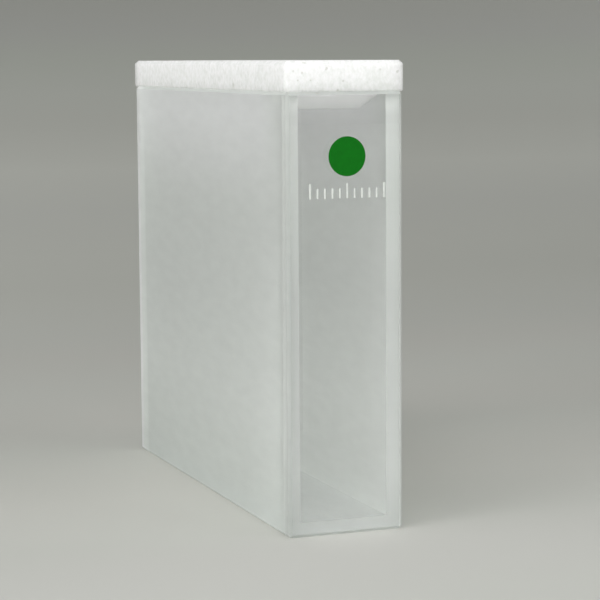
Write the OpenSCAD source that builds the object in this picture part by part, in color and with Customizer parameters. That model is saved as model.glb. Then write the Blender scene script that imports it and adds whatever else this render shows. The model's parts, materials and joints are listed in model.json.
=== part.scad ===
// Rectangular absorption cell for a spectrophotometer, with a rest-on lid.
//
// Five plates of fused silica stand butted together and fused: two polished
// windows across the ends of the light path, two side walls with ground outer
// faces between them, and a base plate let in between the side walls. The lid is
// machined from one PTFE plate and drops into the open mouth by a shallow plug.
//
// Origin: middle of the footprint, on the surface the cell stands on.
// +Y runs along the light path from the front window to the rear one, +Z is up.

/* [Light path] */

// Optical path: distance between the inner faces of the two windows
path_length = 50; // [10:0.5:100]
// Width of the sample space between the side walls
inner_width = 9.5; // [6:0.1:20]
// Height of the cell from the bench to its ground rim
cell_height = 45; // [20:0.5:60]

/* [Plates] */

// Thickness of each polished window
window_t = 1.25; // [1:0.05:3]
// Thickness of each ground side wall
side_t = 1.5; // [1:0.05:3]
// Thickness of the base plate
base_t = 1.35; // [1:0.05:3]

/* [Ground edges] */

// Bevel ground on every outer edge of the fused cell
edge_bevel = 0.3; // [0.1:0.05:0.5]
// Bevel ground round the inside of the mouth
mouth_bevel = 0.2; // [0.1:0.05:0.4]

/* [Lid plate] */

// Thickness of the lid's plate
lid_t = 3.1; // [2:0.1:6]
// How far the plate stands out past each side wall
lid_side_overhang = 0.15; // [0:0.05:1]
// How far the plate stands out past each window
lid_end_overhang = 0.05; // [0:0.05:1]
// Chamfer milled round the top edge
lid_top_chamfer = 0.4; // [0.2:0.05:1]
// Burr taken off the lower edge
lid_lower_break = 0.15; // [0.05:0.05:0.4]
// Chamfer on the plate's four upright corners
lid_corner_chamfer = 0.25; // [0.1:0.05:0.8]

/* [Lid plug] */

// Depth of the plug's upright step below the plate
plug_step = 0.4; // [0.3:0.05:2]
// Height and width of the 45 degree lead-in below the step
plug_lead_in = 1.4; // [0.5:0.05:2]
// Running gap between the plug and each side wall
plug_side_gap = 0.1; // [0.05:0.05:0.4]
// Gap between the plug's ends and each window, which keeps the lid off the optical faces
plug_end_gap = 1.9; // [0.2:0.1:4]

/* [Hidden] */

// Outside of the fused cell
outer_width = inner_width + 2 * side_t;
outer_length = path_length + 2 * window_t;

// Outline of the lid's plate and of its plug
lid_width = outer_width + 2 * lid_side_overhang;
lid_length = outer_length + 2 * lid_end_overhang;
plug_width = inner_width - 2 * plug_side_gap;
plug_length = path_length - 2 * plug_end_gap;
plug_depth = plug_step + plug_lead_in;

// Distance by which a cutting shape runs past the face it cuts
cut_past = 1;

polished_silica = [0.80, 0.86, 0.85, 0.35];
ground_silica = [0.76, 0.80, 0.79, 0.75];
white_ptfe = [0.95, 0.96, 0.95];

// Side profile, in a plane that stands upright: width w, height h, and a straight
// cut of its own at the two lower and the two upper corners.
module upright_profile(w, h, lower_cut, upper_cut)
    polygon([
        [-w / 2 + lower_cut, 0], [w / 2 - lower_cut, 0],
        [w / 2, lower_cut], [w / 2, h - upper_cut],
        [w / 2 - upper_cut, h], [-w / 2 + upper_cut, h],
        [-w / 2, h - upper_cut], [-w / 2, lower_cut]
    ]);

// The profile drawn across X and run along Y, or drawn across Y and run along X.
module run_along_y(length)
    rotate([90, 0, 0])
        linear_extrude(length, center = true) children();

module run_along_x(length)
    rotate([90, 0, 90])
        linear_extrude(length, center = true) children();

// Rectangular block that stands on z = 0 with flat ground bevels on its twelve edges.
// Each pair of opposite faces is one profile, so the bevels meet in true mitres.
module bevelled_block(size, corner_cut, lower_cut, upper_cut) {
    intersection() {
        run_along_y(size.y) upright_profile(size.x, size.z, lower_cut, upper_cut);
        run_along_x(size.x) upright_profile(size.y, size.z, lower_cut, upper_cut);
        linear_extrude(size.z)
            polygon([
                for (corner = [[1, 1], [-1, 1], [-1, -1], [1, -1]])
                    for (along_x = corner.x * corner.y > 0 ? [false, true] : [true, false])
                        [
                            corner.x * (size.x / 2 - (along_x ? corner_cut : 0)),
                            corner.y * (size.y / 2 - (along_x ? 0 : corner_cut))
                        ]
            ]);
    }
}

// Shallow funnel that grinding leaves round the inside of the mouth.
module mouth_funnel() {
    funnel_h = mouth_bevel + cut_past;
    translate([0, 0, cell_height - mouth_bevel])
        intersection() {
            run_along_y(outer_length)
                polygon([
                    [-inner_width / 2, 0], [inner_width / 2, 0],
                    [inner_width / 2 + funnel_h, funnel_h], [-inner_width / 2 - funnel_h, funnel_h]
                ]);
            run_along_x(outer_width)
                polygon([
                    [-path_length / 2, 0], [path_length / 2, 0],
                    [path_length / 2 + funnel_h, funnel_h], [-path_length / 2 - funnel_h, funnel_h]
                ]);
        }
}

// A plate as it stands in the fused cell: its own rectangle, which the child draws,
// cut back by the bevels that are ground round the outside and the mouth.
module ground_after_fusing() {
    difference() {
        intersection() {
            children();
            bevelled_block([outer_width, outer_length, cell_height], edge_bevel, edge_bevel, edge_bevel);
        }
        mouth_funnel();
    }
}

// Window plate at one end of the light path: end = -1 is the front, 1 the rear.
module window(end) {
    color(polished_silica)
        ground_after_fusing()
            translate([-outer_width / 2, end * (path_length + window_t) / 2 - window_t / 2, 0])
                cube([outer_width, window_t, cell_height]);
}

// Side wall between the windows: side = -1 is the left, 1 the right.
module side_wall(side) {
    color(ground_silica)
        ground_after_fusing()
            translate([side * (inner_width + side_t) / 2 - side_t / 2, -path_length / 2, 0])
                cube([side_t, path_length, cell_height]);
}

module front_window() window(-1);

module rear_window() window(1);

module left_side_wall() side_wall(-1);

module right_side_wall() side_wall(1);

// Base plate, let in between the side walls and between the windows.
module base_plate() {
    color(ground_silica)
        translate([-inner_width / 2, -path_length / 2, 0])
            cube([inner_width, path_length, base_t]);
}

// Plug under the lid: an upright step, then a 45 degree lead-in on all four sides.
module lid_plug() {
    translate([0, 0, cell_height - plug_depth])
        bevelled_block([plug_width, plug_length, plug_depth + lid_t / 2], 0, plug_lead_in, 0);
}

module lid_plate() {
    translate([0, 0, cell_height])
        bevelled_block([lid_width, lid_length, lid_t], lid_corner_chamfer, lid_lower_break, lid_top_chamfer);
}

module lid() {
    color(white_ptfe)
        union() {
            lid_plate();
            lid_plug();
        }
}

front_window();
rear_window();
left_side_wall();
right_side_wall();
base_plate();
lid();
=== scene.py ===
"""Rectangular absorption cell of fused silica with its PTFE lid, on a pale bench.

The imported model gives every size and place. Each silica plate is a finer copy of its
CAD node, whose faces are sorted by how they were finished: polished, ground, or fused
to the next plate. Lengths are in metres, apart from the dust, which is in millimetres.
"""

import json
import math

import bpy
from mathutils import Matrix, Vector

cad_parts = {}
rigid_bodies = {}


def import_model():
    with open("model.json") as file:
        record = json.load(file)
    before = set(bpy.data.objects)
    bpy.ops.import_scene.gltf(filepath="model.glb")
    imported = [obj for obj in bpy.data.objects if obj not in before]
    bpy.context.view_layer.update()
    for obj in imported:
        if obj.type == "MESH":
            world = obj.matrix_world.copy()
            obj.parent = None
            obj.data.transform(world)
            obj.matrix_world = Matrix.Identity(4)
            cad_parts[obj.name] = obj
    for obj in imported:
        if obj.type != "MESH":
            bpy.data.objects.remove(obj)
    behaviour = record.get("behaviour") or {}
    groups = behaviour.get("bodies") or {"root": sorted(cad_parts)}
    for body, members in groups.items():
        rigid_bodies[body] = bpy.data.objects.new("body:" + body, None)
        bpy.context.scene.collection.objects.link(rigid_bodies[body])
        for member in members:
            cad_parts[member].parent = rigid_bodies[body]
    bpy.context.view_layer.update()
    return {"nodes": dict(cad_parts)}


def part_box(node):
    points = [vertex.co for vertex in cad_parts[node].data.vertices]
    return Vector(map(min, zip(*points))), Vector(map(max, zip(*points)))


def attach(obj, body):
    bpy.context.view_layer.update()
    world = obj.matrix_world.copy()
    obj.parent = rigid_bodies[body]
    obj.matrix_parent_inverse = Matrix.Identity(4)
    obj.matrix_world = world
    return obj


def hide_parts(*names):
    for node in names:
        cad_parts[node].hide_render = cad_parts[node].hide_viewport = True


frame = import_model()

MM = 0.001

# ---------------------------------------------------------------- places from the frame

cell_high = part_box("rear_window")[1]
rim_z = cell_high.z
half_length = cell_high.y
half_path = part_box("rear_window")[0].y
half_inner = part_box("right_side_wall")[0].x
base_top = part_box("base_plate")[1].z

# Two faces closer than this are the same face
TOUCH = 0.01 * MM
# A plate's milky end stands this far behind the window's own face, so that they never flicker
FUSED_GAP = 0.005 * MM
# Air left between the ground rim and the lid, and between the cell and the bench
RESTING_GAP = 0.01 * MM
# Points this close are one point, and faces that turn less than this are one face
WELD = 0.001 * MM
FLAT_ANGLE = math.radians(0.5)
# A face whose normal has a part above this along an axis stands square to it
SQUARE_ON = 0.99


# ---------------------------------------------------------------- small helpers

def colour(hex_code):
    """Linear colour of an sRGB hex code."""
    channels = [int(hex_code[i:i + 2], 16) / 255 for i in (1, 3, 5)]
    return tuple(c / 12.92 if c <= 0.04045 else ((c + 0.055) / 1.055) ** 2.4 for c in channels) + (1.0,)


def new_material(name):
    """An empty node material and its tree."""
    material = bpy.data.materials.new(name)
    material.use_nodes = True
    material.node_tree.nodes.clear()
    return material, material.node_tree


def add(tree, kind, inputs=None, **settings):
    """Adds a node. inputs maps a socket to a value or to the output that feeds it."""
    node = tree.nodes.new(kind)
    for name, value in settings.items():
        setattr(node, name, value)
    for socket, value in (inputs or {}).items():
        if isinstance(value, bpy.types.NodeSocket):
            tree.links.new(value, node.inputs[socket])
        else:
            node.inputs[socket].default_value = value
    return node


def close_tree(tree, shader):
    """Feeds the finished shader to the material's output."""
    add(tree, "ShaderNodeOutputMaterial", {"Surface": shader})


# A mix node has sockets of one name for each kind of data, so they go by their numbers
MIX_VALUES, MIX_COLOURS, COLOUR_OUT = (2, 3), (6, 7), 2


def mix_colours(tree, share, first, second, blend_type="MIX"):
    """Colour between two others: the first where share is 0, the second where it is 1."""
    a, b = MIX_COLOURS
    mix = add(tree, "ShaderNodeMix", {"Factor": share, a: first, b: second},
              data_type="RGBA", blend_type=blend_type)
    return mix.outputs[COLOUR_OUT]


def object_point(tree):
    """Where a shaded point is in the object, as a vector."""
    return add(tree, "ShaderNodeTexCoord").outputs["Object"]


def parts(tree, vector):
    """The X, Y and Z of a vector, by name."""
    return add(tree, "ShaderNodeSeparateXYZ", {"Vector": vector}).outputs


def new_object(name, data):
    """A new object in the scene, from its mesh, light or camera."""
    piece = bpy.data.objects.new(name, data)
    bpy.context.scene.collection.objects.link(piece)
    return piece


def deselect_all():
    for thing in bpy.data.objects:
        thing.select_set(False)


def edit(thing):
    """Selects one object alone and enters edit mode with nothing selected in it."""
    deselect_all()
    thing.select_set(True)
    bpy.context.view_layer.objects.active = thing
    bpy.ops.object.mode_set(mode="EDIT")
    bpy.ops.mesh.select_mode(type="FACE")
    bpy.ops.mesh.select_all(action="DESELECT")


def leave_edit():
    bpy.ops.object.mode_set(mode="OBJECT")


def finer_copy(node, name):
    """A copy of a CAD node, its facets merged into whole faces, left in edit mode, all selected."""
    piece = new_object(name, frame["nodes"][node].data.copy())
    piece.data.materials.clear()
    edit(piece)
    bpy.ops.mesh.select_all(action="SELECT")
    bpy.ops.mesh.remove_doubles(threshold=WELD)
    bpy.ops.mesh.dissolve_limited(angle_limit=FLAT_ANGLE)
    bpy.ops.mesh.select_all(action="SELECT")
    return piece


def stand_for(piece, node):
    """The piece joins the root body in its CAD node's place, and the node is hidden."""
    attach(piece, "root")
    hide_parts(node)


# ---------------------------------------------------------------- materials

# Silica bends light by this much, whatever its finish
SILICA_IOR = 1.458
# Ground silica from the front end to the rear one, with painted light and shade: greyer at the front
# edge, and whiter over the last millimetres at the rear, standing in for light that the solid corners
# pass on to their own ends. Distance from the front face and colour
GROUND_TONES = (
    (0, "#d8dbd8"), (1.25 * MM, "#eef1ee"), (3.0 * MM, "#f2f5f2"), (12.0 * MM, "#eef1ee"),
    (49.0 * MM, "#ebeeeb"), (49.6 * MM, "#f7faf7"), (51.25 * MM, "#fbfdfb"), (52.5 * MM, "#feffff"),
)
# The same under the lid, painted whiter there as painted light for what the lid feeds into the plates,
# and how far down it is painted
LIT_TONES = (
    (0, "#d8dbd8"), (1.25 * MM, "#f0f3f0"), (3.0 * MM, "#f6f9f6"), (8.0 * MM, "#feffff"),
    (52.5 * MM, "#feffff"),
)
LIT_DEPTH = 14 * MM
# Bevels and window edges are ground finer. Their tone is painted light and shade: greyer round the
# front, whiter along the length and whitest at the rear end
EDGE_TONES = (
    (0, "#c8cbc8"), (1.25 * MM, "#e4e7e4"), (3.0 * MM, "#f4f7f4"), (49.0 * MM, "#f4f7f4"),
    (51.25 * MM, "#feffff"), (52.5 * MM, "#feffff"),
)
# The same under the lid, painted greyer there as the lid's shade on the rim
LIT_EDGE_TONES = (
    (0, "#ced1ce"), (1.25 * MM, "#e4e7e4"), (3.0 * MM, "#e8ebe8"), (49.0 * MM, "#e8ebe8"),
    (51.25 * MM, "#feffff"), (52.5 * MM, "#feffff"),
)
# The underside is painted greyer: painted shade, for it faces the bench
UNDERSIDE_TONES = ((0, "#dde0de"), (52.5 * MM, "#dde0de"))
# Painted shade: each ground face is dimmed by height, most at its foot, and a little between its middle
# and the lid
FOOT_SHADE_TONES = (
    (0, "#eff0ef"), (1.35 * MM, "#f1f2f1"), (5 * MM, "#f7f8f7"), (12 * MM, "#fefefe"),
    (24 * MM, "#f8f8f8"), (34 * MM, "#f5f5f5"), (40 * MM, "#f6f6f6"), (45 * MM, "#fcfcfc"),
)
# The same painted shade by height for ground faces seen from inside, through the polished chamber walls
INNER_SHADE_TONES = (
    (0, "#f6f6f6"), (5 * MM, "#f7f7f7"), (12 * MM, "#f8f8f8"), (24 * MM, "#ebebeb"),
    (32 * MM, "#ededed"), (40 * MM, "#e9e9e9"), (45 * MM, "#ebebeb"),
)


def let_lamps_through(tree, glass, passed):
    """A solid that lets this colour of the lamps' light pass, so they light what is behind it."""
    path = add(tree, "ShaderNodeLightPath")
    clear = add(tree, "ShaderNodeBsdfTransparent", {"Color": colour(passed)})
    return add(tree, "ShaderNodeMixShader", {
        0: path.outputs["Is Shadow Ray"], 1: glass.outputs[0], 2: clear.outputs[0]}).outputs[0]


def polished_silica():
    """Optically polished fused silica: water clear, no haze, a faint mirror at its faces."""
    material, tree = new_material("polished_silica")
    glass = add(tree, "ShaderNodeBsdfPrincipled", {
        "Base Color": colour("#ffffff"), "Roughness": 0.0, "IOR": SILICA_IOR,
        "Transmission Weight": 1.0})
    close_tree(tree, let_lamps_through(tree, glass, "#fbfbfb"))
    return material


# Dust on the lid and under its front edge: x, y, z and radius, in millimetres
LID_DUST = (
    (-5.52, -26.3, 47.06, 0.16), (-4.59, -26.3, 46.88, 0.18), (-4.4, -26.2, 47.94, 0.26),
    (-4.25, -26.2, 47.9, 0.22), (-5.05, -26.3, 46.16, 0.14), (-3.7, -26.3, 46.15, 0.13),
    (-1.96, -26.3, 47.33, 0.18), (-2.05, -26.3, 47.2, 0.14), (-0.21, -26.3, 46.05, 0.18),
    (3.8, -26.3, 47.16, 0.16), (5.65, -26.3, 46.91, 0.2), (5.75, -26.3, 47.0, 0.16),
    (-0.8, -26.3, 45.12, 0.2), (-6.4, -10.68, 45.53, 0.4),
)
RIM_DUST = ((-3.35, -26.15, 44.95, 0.14), (-3.05, -26.1, 44.92, 0.14), (-2.85, -26.05, 44.78, 0.18))
# Share of light that a ground face and a finer ground edge let through from outside. The grit
# turns back more of the light that comes at it from inside the silica
FACE_CLEARNESS = 0.65
EDGE_CLEARNESS = 0.45
SEEN_THROUGH_SILICA = 0.38
# The milky plate ends by height, with painted light and shade: whiter towards the lid, which lights
# them, and greyer towards the foot. The film hides most of what is behind it, and takes a small share of
# its light from there
MILK_TONES = (
    (0, "#b3b6b3"), (1.35 * MM, "#b5b8b5"), (6 * MM, "#c1c4c1"), (24 * MM, "#bcbfbc"),
    (36 * MM, "#c8ccc8"), (42.5 * MM, "#d1d4d1"), (44.5 * MM, "#edf0ed"), (45 * MM, "#feffff"),
)
MILK_COVER = 0.85
MILK_FROM_BEHIND = 0.1


def tone_ramp(tree, place, tones):
    """Colour by a distance in metres, from a table of distances and sRGB colours."""
    start, end = tones[0][0], tones[-1][0]
    share = add(tree, "ShaderNodeMapRange", {"Value": place, "From Min": start, "From Max": end})
    ramp = add(tree, "ShaderNodeValToRGB", {"Fac": share.outputs[0]})
    stops = ramp.color_ramp.elements
    for distance, tone in tones[1:-1]:
        stops.new((distance - start) / (end - start)).color = colour(tone)
    stops[0].color = colour(tones[0][1])
    stops[len(stops) - 1].color = colour(tones[-1][1])
    return ramp.outputs["Color"]


def specks(tree, spots):
    """Specks of dust: 1 inside each spot, 0 outside. A spot is x, y, z and radius, in millimetres."""
    where = object_point(tree)
    found = None
    for *place, radius in spots:
        away = add(tree, "ShaderNodeVectorMath", {
            0: where, 1: tuple(part * MM for part in place)}, operation="DISTANCE")
        spot = add(tree, "ShaderNodeMapRange", {
            "Value": away.outputs["Value"], "From Min": radius * MM, "From Max": radius * MM / 3})
        found = spot.outputs[0] if found is None else add(
            tree, "ShaderNodeMath", {0: found, 1: spot.outputs[0]}, operation="MAXIMUM").outputs[0]
    return found


def ground_silica(name, tones, lit_tones, clearness, dust=()):
    """Fused silica ground with loose grit: a soft grey-white frost that lets light through.

    It is painted whiter under the lid, as painted light for what the PTFE feeds into the plates, and its
    tones hold painted light and shade along its length and height.
    """
    material, tree = new_material(name)
    where = object_point(tree)
    place = parts(tree, where)
    from_front = add(tree, "ShaderNodeMath", {0: place["Y"], 1: half_length}).outputs[0]
    # Painted light: near the rim the tone turns to the whiter lid tones
    near_lid = add(tree, "ShaderNodeMapRange", {
        "Value": place["Z"], "From Min": rim_z - LIT_DEPTH, "From Max": rim_z},
        interpolation_type="SMOOTHSTEP").outputs[0]
    tint = mix_colours(
        tree, near_lid, tone_ramp(tree, from_front, tones), tone_ramp(tree, from_front, lit_tones))
    from_inside = add(tree, "ShaderNodeNewGeometry").outputs["Backfacing"]
    # Painted shade by height, one table for faces seen from outside and one for inside
    by_height = mix_colours(
        tree, from_inside, tone_ramp(tree, place["Z"], FOOT_SHADE_TONES),
        tone_ramp(tree, place["Z"], INNER_SHADE_TONES))
    tint = mix_colours(tree, 1.0, tint, by_height, blend_type="MULTIPLY")
    # The frost is uneven in patches 1.2 mm high, three times as long as the grinding went. Its grit
    # marks are 0.03 mm, too fine to show, so the relief is drawn at 0.25 mm
    stroke = add(tree, "ShaderNodeMapping", {"Vector": where, "Scale": (1, 0.33, 1)})
    patches = add(tree, "ShaderNodeTexNoise", {
        "Vector": stroke.outputs[0], "Scale": 1 / (1.2 * MM), "Detail": 2.0})
    uneven = add(tree, "ShaderNodeMapRange", {
        "Value": patches.outputs[0], "From Min": 0.3, "From Max": 0.7, "To Min": 0.975, "To Max": 1.025})
    tint = add(tree, "ShaderNodeHueSaturation", {"Value": uneven.outputs[0], "Color": tint}).outputs[0]
    if dust:
        tint = mix_colours(tree, specks(tree, dust), tint, colour("#c0c1bd"))
    grit = add(tree, "ShaderNodeTexNoise", {
        "Vector": where, "Scale": 1 / (0.25 * MM), "Detail": 2.0})
    relief = add(tree, "ShaderNodeBump", {
        "Height": grit.outputs[0], "Strength": 0.4, "Distance": 0.02 * MM})
    thinness = add(tree, "ShaderNodeMapRange", {
        "Value": from_inside, "To Min": clearness, "To Max": SEEN_THROUGH_SILICA})
    glass = add(tree, "ShaderNodeBsdfPrincipled", {
        "Base Color": tint, "Roughness": 0.9, "IOR": SILICA_IOR,
        "Normal": relief.outputs[0], "Transmission Weight": thinness.outputs[0]})
    close_tree(tree, let_lamps_through(tree, glass, "#aaacab"))
    return material


def fused_joint():
    """The face where two plates were fused: one body of silica, so nothing shows."""
    material, tree = new_material("fused_joint")
    clear = add(tree, "ShaderNodeBsdfTransparent", {"Color": colour("#ffffff")})
    close_tree(tree, clear.outputs[0])
    return material


def milky_joint():
    """The ground end of a plate, fused to a window: its grit stays as a milky film."""
    material, tree = new_material("milky_joint")
    clear = add(tree, "ShaderNodeBsdfTransparent", {"Color": colour("#ffffff")})
    place = parts(tree, object_point(tree))
    # Painted light and shade by height
    tone = tone_ramp(tree, place["Z"], MILK_TONES)
    front = add(tree, "ShaderNodeBsdfDiffuse", {"Color": tone})
    behind = add(tree, "ShaderNodeBsdfTranslucent", {"Color": tone})
    milk = add(tree, "ShaderNodeMixShader", {
        0: MILK_FROM_BEHIND, 1: front.outputs[0], 2: behind.outputs[0]})
    film = add(tree, "ShaderNodeMixShader", {0: MILK_COVER, 1: clear.outputs[0], 2: milk.outputs[0]})
    close_tree(tree, film.outputs[0])
    return material


def milled_ptfe():
    """PTFE milled from plate: bright waxy white, with a soft mottle torn by the cutter and some dust."""
    material, tree = new_material("milled_ptfe")
    where = object_point(tree)
    place = parts(tree, where)
    # Torn marks 0.4 mm across, a little longer on the slant of the cutter
    slant = add(tree, "ShaderNodeMapping", {
        "Vector": where, "Rotation": (0, math.radians(35), math.radians(20)), "Scale": (1, 0.8, 0.7)})
    torn = add(tree, "ShaderNodeTexNoise", {
        "Vector": slant.outputs[0], "Scale": 1 / (0.4 * MM), "Detail": 2.0, "Roughness": 0.6})
    # Cloudy patches 3 mm across
    cloud = add(tree, "ShaderNodeTexNoise", {"Vector": where, "Scale": 1 / (3 * MM), "Detail": 1.0})
    a, b = MIX_VALUES
    both = add(tree, "ShaderNodeMix", {"Factor": 0.3, a: torn.outputs[0], b: cloud.outputs[0]})
    mottle = add(tree, "ShaderNodeMapRange", {
        "Value": both.outputs[0], "From Min": 0.36, "From Max": 0.64}).outputs[0]
    # The plug, below the rim, is painted nearly white all over, where the lid above it is mottled:
    # painted light, for the plug stands in shade inside the cell
    above_rim = add(tree, "ShaderNodeMapRange", {
        "Value": place["Z"], "From Min": rim_z - 0.3 * MM, "From Max": rim_z}).outputs[0]
    darkest = mix_colours(tree, above_rim, colour("#fbfcfb"), colour("#e5e7e4"))
    white = mix_colours(tree, mottle, darkest, colour("#ffffff"))
    dusty = mix_colours(tree, specks(tree, LID_DUST), white, colour("#d3d4cf"))
    relief = add(tree, "ShaderNodeBump", {
        "Height": torn.outputs[0], "Strength": 0.5, "Distance": 0.02 * MM})
    waxy = add(tree, "ShaderNodeBsdfPrincipled", {
        "Base Color": dusty, "Roughness": 0.55, "IOR": 1.35, "Normal": relief.outputs[0],
        "Subsurface Weight": 1.0, "Subsurface Radius": (1.0, 1.0, 1.0),
        "Subsurface Scale": 4.5 * MM})
    close_tree(tree, let_lamps_through(tree, waxy, "#ececec"))
    return material


def fired_enamel(name, tone):
    """Enamel screened on the window and fired: flat, opaque and nearly matt, a little uneven."""
    material, tree = new_material(name)
    where = object_point(tree)
    # Uneven patches 0.3 mm across, from the mesh of the screen
    patches = add(tree, "ShaderNodeTexNoise", {"Vector": where, "Scale": 1 / (0.3 * MM), "Detail": 2.0})
    depth = add(tree, "ShaderNodeMapRange", {
        "Value": patches.outputs[0], "From Min": 0.3, "From Max": 0.7, "To Min": 0.88, "To Max": 1.0})
    hue = add(tree, "ShaderNodeHueSaturation", {"Value": depth.outputs[0], "Color": colour(tone)})
    relief = add(tree, "ShaderNodeBump", {
        "Height": patches.outputs[0], "Strength": 0.3, "Distance": 0.01 * MM})
    enamel = add(tree, "ShaderNodeBsdfPrincipled", {
        "Base Color": hue.outputs[0], "Roughness": 0.6, "IOR": 1.5, "Specular IOR Level": 0.15,
        "Normal": relief.outputs[0]})
    close_tree(tree, enamel.outputs[0])
    return material


# ---------------------------------------------------------------- silica plates

def finish_of(centre, normal, is_window):
    """Finish of the silica face that has this centre and outward normal."""
    on_window_plane = abs(abs(centre.y) - half_path) < TOUCH and abs(normal.y) > SQUARE_ON
    on_wall_plane = abs(abs(centre.x) - half_inner) < TOUCH and abs(normal.x) > SQUARE_ON
    opens_on_chamber = abs(centre.x) < half_inner + TOUCH and centre.z > base_top
    if on_window_plane and not is_window:
        return "milky"
    if (on_window_plane or on_wall_plane) and not opens_on_chamber:
        return "fused"
    if on_window_plane or on_wall_plane:
        return "polished"
    if abs(abs(centre.y) - half_length) < TOUCH and abs(normal.y) > SQUARE_ON:
        return "polished"
    if abs(centre.z - base_top) < TOUCH and normal.z > SQUARE_ON:
        return "polished"
    if normal.z < -SQUARE_ON:
        return "underside"
    is_bevel = max(abs(part) for part in normal) <= SQUARE_ON
    return "edge" if is_bevel or is_window else "ground"


def silica_plate(node, name):
    """A copy of one CAD plate, merged, cut along its joints and finished face by face."""
    plate = finer_copy(node, name)
    # Cut where the plates meet, so that each face has one finish
    for place, normal in (
        ((half_inner, 0, 0), (1, 0, 0)),
        ((-half_inner, 0, 0), (1, 0, 0)),
        ((0, 0, base_top), (0, 0, 1)),
    ):
        bpy.ops.mesh.select_all(action="SELECT")
        bpy.ops.mesh.bisect(plane_co=place, plane_no=normal)
    leave_edit()
    is_window = "window" in node
    for vertex in plate.data.vertices:
        if vertex.co.z > rim_z - TOUCH:
            vertex.co.z -= RESTING_GAP
        if not is_window and abs(abs(vertex.co.y) - half_path) < TOUCH:
            vertex.co.y -= math.copysign(FUSED_GAP, vertex.co.y)
    slots = {finish: index for index, finish in enumerate(silica)}
    for material in silica.values():
        plate.data.materials.append(material)
    for face in plate.data.polygons:
        face.material_index = slots[finish_of(face.center, face.normal, is_window)]
        face.use_smooth = False
    stand_for(plate, node)


# ---------------------------------------------------------------- lid and printed marks

# Radius of the lid's milled edges, which leaves room for the shortest, at its lower corners, and
# how far the enamel stands out of the window and reaches into it
LID_EDGE = 0.02 * MM
ENAMEL_OUT = 0.02 * MM
ENAMEL_IN = 0.005 * MM
# Both marks share their middle. The dot has its centre and the ruling its foot at these heights
MARK_X = 0.2 * MM
DOT_Z = 38.55 * MM
DOT_RADIUS = 2.0 * MM
RULING_Z = 34.35 * MM


def milled_lid():
    """A copy of the CAD lid, merged, with every edge softened as a deburred edge is."""
    lid = finer_copy("lid", "milled_lid")
    bpy.ops.mesh.bevel(offset=LID_EDGE, segments=3, affect="EDGES", clamp_overlap=True)
    leave_edit()
    lid.data.materials.append(milled_ptfe())
    bpy.ops.object.shade_smooth_by_angle(angle=math.radians(45))
    flat_faces = lid.modifiers.new("flat_faces", "WEIGHTED_NORMAL")
    flat_faces.keep_sharp = True
    bpy.ops.object.modifier_apply(modifier=flat_faces.name)
    stand_for(lid, "lid")


def enamel_film(name, material):
    """Rounds the front edges of the selected print, sets it in its place and gives it its finish."""
    mark = bpy.context.object
    mark.name = name
    bpy.ops.object.transform_apply(location=True, rotation=True, scale=True)
    # Edges are picked in object mode, and stay picked because edit mode works on edges
    edit(mark)
    bpy.ops.mesh.select_mode(type="EDGE")
    leave_edit()
    front_y = min(vertex.co.y for vertex in mark.data.vertices)
    for edge in mark.data.edges:
        edge.select = all(abs(mark.data.vertices[i].co.y - front_y) < WELD for i in edge.vertices)
    bpy.ops.object.mode_set(mode="EDIT")
    bpy.ops.mesh.bevel(offset=ENAMEL_OUT / 2, segments=2)
    leave_edit()
    mark.data.materials.append(material)
    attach(mark, "root")


def enamel_place(x, z):
    """Centre of a print at this x and z on the front window, in metres."""
    return (x, -half_length - (ENAMEL_OUT - ENAMEL_IN) / 2, z)


def green_dot():
    """A plain round spot."""
    deselect_all()
    bpy.ops.mesh.primitive_cylinder_add(
        vertices=96, radius=DOT_RADIUS, depth=ENAMEL_OUT + ENAMEL_IN,
        location=enamel_place(MARK_X, DOT_Z), rotation=(math.radians(90), 0, 0))
    enamel_film("green_dot", fired_enamel("green_enamel", "#006b0b"))


def white_ruling():
    """A plain row of eleven strokes, every fifth one long."""
    pitch, width, short, long = 0.8 * MM, 0.18 * MM, 1.0 * MM, 1.5 * MM
    deselect_all()
    strokes = []
    for step in range(-5, 6):
        height = long if step % 5 == 0 else short
        bpy.ops.mesh.primitive_cube_add(
            size=1, location=enamel_place(MARK_X + step * pitch, RULING_Z + height / 2),
            scale=(width, ENAMEL_OUT + ENAMEL_IN, height))
        strokes.append(bpy.context.object)
    for stroke in strokes:
        stroke.select_set(True)
    bpy.ops.object.join()
    enamel_film("white_ruling", fired_enamel("white_enamel", "#dfe2de"))


# ---------------------------------------------------------------- stage

# The bench's colour changes as it goes back: painted light and shade, for how the lamps' light falls
# along it and up the sweep. How far along it and up the sweep, and its colour
BENCH_TONES = (
    (-0.5, "#d8d9d4"), (-0.1, "#d8d9d4"), (-0.06, "#c6c7c1"), (-0.047, "#c6c7c1"), (-0.037, "#c4c4bf"),
    (-0.021, "#bfc0ba"), (-0.002, "#c1c1bb"), (0.009, "#bfbfb9"), (0.027, "#bcbdb7"),
    (0.049, "#bcbcb6"), (0.074, "#bcbdb7"), (0.105, "#bdbdb7"), (0.129, "#bebfb9"), (0.19, "#c5c6bf"),
    (0.255, "#c9cac3"), (0.309, "#c8c9c3"), (0.359, "#cccdc6"), (0.412, "#c2c3bc"), (0.447, "#c0c2bb"),
    (0.481, "#babdb5"), (0.514, "#b5b6b1"), (0.542, "#b1b2ac"), (2.0, "#b1b2ac"),
)


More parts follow.
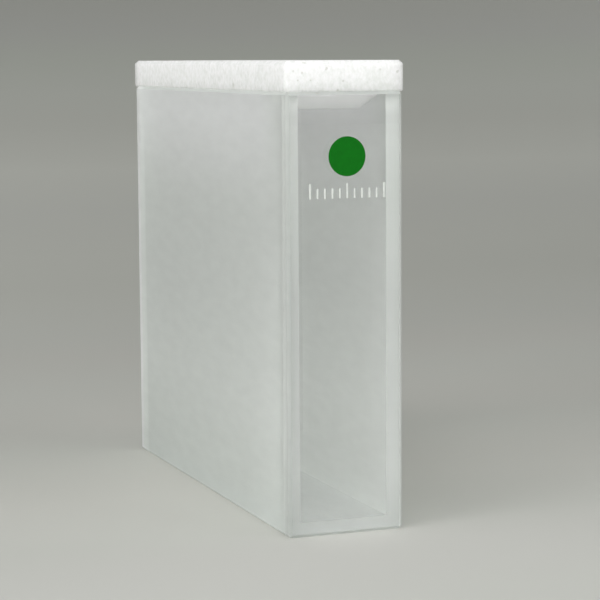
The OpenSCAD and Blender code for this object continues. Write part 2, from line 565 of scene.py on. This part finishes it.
def bench_and_backdrop():
    """A pale bench that sweeps up into a grey backdrop."""
    material, tree = new_material("bench_paper")
    place = parts(tree, object_point(tree))
    along = add(tree, "ShaderNodeMath", {0: place["Y"], 1: place["Z"]})
    # Its colour holds the painted fall-off of the light
    paper = add(tree, "ShaderNodeBsdfPrincipled", {
        "Base Color": tone_ramp(tree, along.outputs[0], BENCH_TONES), "Roughness": 0.7})
    close_tree(tree, paper.outputs[0])

    # It lies from near to turn, bends up with this radius, and ends at top. It is two sides wide
    near, turn, radius, top, side = -1.2, 0.2, 0.6, 2.0, 2.5
    arc = [Vector((0, turn + radius * math.sin(a), radius - radius * math.cos(a)))
           for a in (math.radians(d) for d in range(0, 91, 5))]
    path = [Vector((0, near, 0))] + arc + [Vector((0, turn + radius, top))]
    verts = [p + Vector((s * side, 0, -RESTING_GAP)) for p in path for s in (-1, 1)]
    faces = [(2 * i, 2 * i + 1, 2 * i + 3, 2 * i + 2) for i in range(len(path) - 1)]
    mesh = bpy.data.meshes.new("bench")
    mesh.from_pydata(verts, [], faces)
    mesh.materials.append(material)
    bench = new_object("bench", mesh)
    for face in mesh.polygons:
        face.use_smooth = True


# Soft lamps: name, place, what it is aimed at, width and height, and watts. They stand high enough
# that the front window mirrors none of them to a level eye
MID_CELL = (0, 0, 0.02)
LAMPS = (
    ("overhead", (-0.20, -0.16, 0.45), MID_CELL, (0.35, 0.35), 1.22),
    ("left", (-0.70, -0.26, 0.30), MID_CELL, (0.4, 0.25), 2.3),
    ("front", (-0.15, -0.90, 0.375), MID_CELL, (0.9, 0.5), 3.25),
    ("right", (0.24, -0.26, 0.32), MID_CELL, (0.25, 0.2), 0.54),
    ("backdrop", (0.5, 0.35, 0.4), (0.4, 0.9, 0.1), (0.2, 0.2), 0.42),
)


def softbox(name, place, target, size, watts):
    """A rectangular lamp that faces its target."""
    light = bpy.data.lights.new(name, "AREA")
    light.shape = "RECTANGLE"
    light.size, light.size_y = size
    light.energy = watts
    lamp = new_object(name, light)
    lamp.location = place
    lamp.rotation_euler = (Vector(target) - Vector(place)).to_track_quat("-Z", "Y").to_euler()


def studio():
    """The lamps, and a room that fills the shadows a little."""
    for lamp in LAMPS:
        softbox(*lamp)
    world = bpy.data.worlds.new("room")
    world.use_nodes = True
    bpy.context.scene.world = world
    room = world.node_tree.nodes["Background"].inputs
    room["Color"].default_value = colour("#e8eae8")
    room["Strength"].default_value = 0.155


def camera():
    """Eye level with the lid, to the left of the front window, looking a little down and right."""
    lens = bpy.data.cameras.new("camera")
    lens.sensor_width = 36
    lens.lens = 122.91
    lens.clip_start, lens.clip_end = 0.01, 10
    place = Vector((-77.4, -216.4, 48.5)) * MM
    yaw, pitch, roll = (math.radians(a) for a in (20.86, -6.78, -0.37))
    ahead = Vector((math.sin(yaw) * math.cos(pitch), math.cos(yaw) * math.cos(pitch), math.sin(pitch)))
    level = Vector((math.cos(yaw), -math.sin(yaw), 0))
    upright = level.cross(ahead)
    right = math.cos(roll) * level + math.sin(roll) * upright
    up = -math.sin(roll) * level + math.cos(roll) * upright
    eye = new_object("camera", lens)
    eye.matrix_world = Matrix.Translation(place) @ Matrix((right, up, -ahead)).transposed().to_4x4()
    bpy.context.scene.camera = eye


# ---------------------------------------------------------------- build

camera()
silica = {
    "polished": polished_silica(),
    "ground": ground_silica("ground_silica", GROUND_TONES, LIT_TONES, FACE_CLEARNESS),
    "edge": ground_silica("fine_ground_edge", EDGE_TONES, LIT_EDGE_TONES, EDGE_CLEARNESS, RIM_DUST),
    "underside": ground_silica(
        "ground_underside", UNDERSIDE_TONES, UNDERSIDE_TONES, FACE_CLEARNESS),
    "fused": fused_joint(),
    "milky": milky_joint(),
}
for node, name in (
    ("front_window", "front_window_plate"),
    ("rear_window", "rear_window_plate"),
    ("left_side_wall", "left_wall_plate"),
    ("right_side_wall", "right_wall_plate"),
    ("base_plate", "let_in_base"),
):
    silica_plate(node, name)

milled_lid()
green_dot()
white_ruling()

bench_and_backdrop()
studio()
# Light crosses many faces of silica, and goes back and forth between them
BOUNCES = 24
scene = bpy.context.scene
scene.view_settings.view_transform = "Standard"
scene.cycles.max_bounces = BOUNCES
scene.cycles.transmission_bounces = BOUNCES
scene.cycles.transparent_max_bounces = BOUNCES
